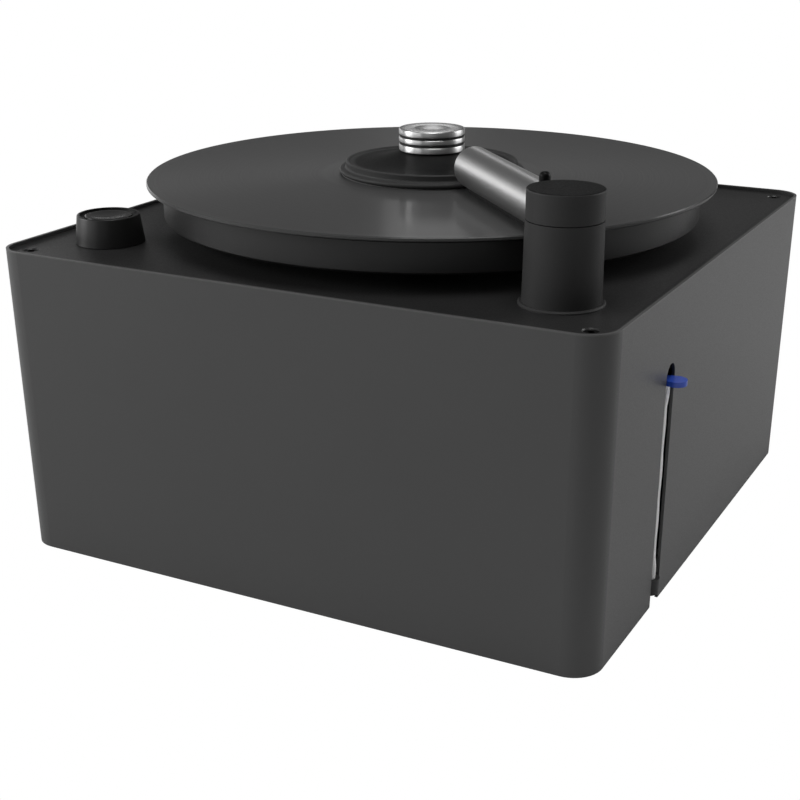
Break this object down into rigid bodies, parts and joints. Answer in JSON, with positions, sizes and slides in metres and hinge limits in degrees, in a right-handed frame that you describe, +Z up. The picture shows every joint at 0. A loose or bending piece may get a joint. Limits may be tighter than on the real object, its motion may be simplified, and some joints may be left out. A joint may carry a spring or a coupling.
{
  "type": "vacuum record cleaning machine",
  "caption": "Square casing with a turning platter that holds a record under a screw-down label clamp, and a tubular suction arm that swings over the record and draws off the cleaning fluid.",
  "frame": {"origin": "where the platter's axis meets the plane that the feet stand on, in the middle of the four feet", "axes": "+Z up along the platter's axis; -Y to the front, where the control knob is at the left and the arm tower at the right; +X to the right, the side with the drain slot"},
  "size_m": [0.333, 0.3291, 0.2161],
  "materials": {
    "casing_paint": "fine-textured dark grey powder coat",
    "black_plate": "satin black",
    "black_metal": "satin black",
    "platter_black": "matt black",
    "vinyl": "black record vinyl with fine grooves",
    "mat_rubber": "matt black",
    "black_rubber": "matt black",
    "clamp_black": "satin black",
    "polished_aluminium": "polished",
    "brushed_aluminium": "brushed along its length",
    "plain_aluminium": "machined",
    "zinc_steel": "zinc plated",
    "black_screw": "black oxide",
    "bright_steel": "ground",
    "spring_steel": "drawn wire",
    "bronze": "sintered bronze",
    "gear_plastic": "moulded",
    "brass": "machined",
    "velvet": "black velvet pile",
    "knob_black": "satin black",
    "button_black": "glossy black",
    "tank_plastic": "milky translucent moulding",
    "housing_plastic": "moulded",
    "hose_rubber": "matt",
    "clear_tube": "clear flexible tube",
    "blue_plastic": "blue moulding",
    "board_green": "printed circuit board",
    "core_steel": "varnished laminations"
  },
  "bodies": {
    "chassis": {"casing": "casing_paint", "top_plate": "black_plate", "base_plate": "zinc_steel", "corner_posts": "plain_aluminium", "top_plate_screws": "black_screw", "base_screws": "zinc_steel", "rubber_feet": "black_rubber", "foot_screws": "zinc_steel", "bearing_housing": "plain_aluminium", "bearing_bushes": "bronze", "housing_screws": "zinc_steel", "motor_plate": "zinc_steel", "motor_spacers": "plain_aluminium", "spacer_screws": "zinc_steel", "drive_motor": "bright_steel", "arm_column": "black_metal", "column_base_ring": "black_metal", "column_nut": "zinc_steel", "selector_switch": "housing_plastic", "waste_tank": "tank_plastic", "tank_lid": "tank_plastic", "suction_hose": "hose_rubber", "air_hose": "hose_rubber", "tank_outlet": "housing_plastic", "motor_mount": "black_rubber", "vacuum_motor": "bright_steel", "turbine_housing": "housing_plastic", "exhaust_grille": "housing_plastic", "mains_inlet": "housing_plastic", "inlet_pins": "brass", "switch_frame": "housing_plastic", "control_board": "board_green", "transformer": "core_steel"},
    "platter": {"platter": "platter_black", "platter_mat": "mat_rubber", "record_disc": "vinyl", "spindle": "bright_steel", "platter_screws": "zinc_steel", "spindle_gear": "gear_plastic"},
    "clamp": {"clamp_plate": "clamp_black", "clamp_rubber_ring": "black_rubber"},
    "clamp_knob": {"clamp_knob": "polished_aluminium", "clamp_knob_rings": "black_rubber"},
    "pinion": {"motor_pinion": "brass"},
    "lift": {"lift_collar": "bronze", "lift_spring": "spring_steel"},
    "arm": {"arm_head": "black_metal", "riser_tube": "bright_steel", "suction_tube": "brushed_aluminium", "tube_end_cap": "brushed_aluminium", "velvet_lips": "velvet", "arm_top_screw": "black_screw"},
    "knob": {"selector_knob": "knob_black", "selector_shaft": "bright_steel"},
    "button": {"suction_button": "button_black"},
    "rocker": {"power_rocker": "button_black"},
    "impeller": {"impeller": "plain_aluminium"},
    "drain_hose": {"drain_elbow": "housing_plastic", "drain_hose": "clear_tube"},
    "plug": {"drain_plug": "blue_plastic"}
  },
  "joints": [
    {"name": "platter_spin", "type": "hinge", "parent": "chassis", "child": "platter", "pos_m": [0, 0, 0.1776], "axis": [0, 0, 1], "continuous": true},
    {"name": "pinion_spin", "type": "hinge", "parent": "chassis", "child": "pinion", "pos_m": [-0.045, 0, 0.1142], "axis": [0, 0, 1], "continuous": true},
    {"name": "clamp_lift", "type": "slide", "parent": "platter", "child": "clamp", "axis": [0, 0, 1], "range_m": [0, 0.03]},
    {"name": "clamp_knob_turn", "type": "hinge", "parent": "clamp", "child": "clamp_knob", "pos_m": [0, 0, 0.20185], "axis": [0, 0, 1], "continuous": true},
    {"name": "arm_lift", "type": "slide", "parent": "chassis", "child": "lift", "axis": [0, 0, 1], "range_m": [0, 0.006], "deforming": ["lift_spring"]},
    {"name": "arm_swing", "type": "hinge", "parent": "lift", "child": "arm", "pos_m": [0.1232, -0.117, 0.2006], "axis": [0, 0, 1], "range_deg": [-125, 0]},
    {"name": "selector_turn", "type": "hinge", "parent": "chassis", "child": "knob", "pos_m": [-0.1254, -0.117, 0.1635], "axis": [0, 0, 1], "range_deg": [-45, 45]},
    {"name": "button_press", "type": "slide", "parent": "knob", "child": "button", "axis": [0, 0, -1], "range_m": [0, 0.002], "stiffness_N_per_m": 400, "springref_m": -0.002},
    {"name": "power_rocker_tilt", "type": "hinge", "parent": "chassis", "child": "rocker", "pos_m": [0.072, 0.1605, 0.046], "axis": [1, 0, 0], "range_deg": [-18, 0]},
    {"name": "impeller_spin", "type": "hinge", "parent": "chassis", "child": "impeller", "pos_m": [-0.098, 0.088, 0.066], "axis": [0, 0, 1], "continuous": true},
    {"name": "drain_hose_swing", "type": "hinge", "parent": "chassis", "child": "drain_hose", "pos_m": [0.1565, -0.075, 0.0135], "axis": [0, 1, 0], "range_deg": [0, 80]},
    {"name": "drain_plug_pull", "type": "slide", "parent": "drain_hose", "child": "plug", "axis": [0, 0, 1], "range_m": [0, 0.0045]}
  ],
  "couplings": [
    {"joint": "pinion_spin", "follows": "platter_spin", "ratio": -4}
  ]
}
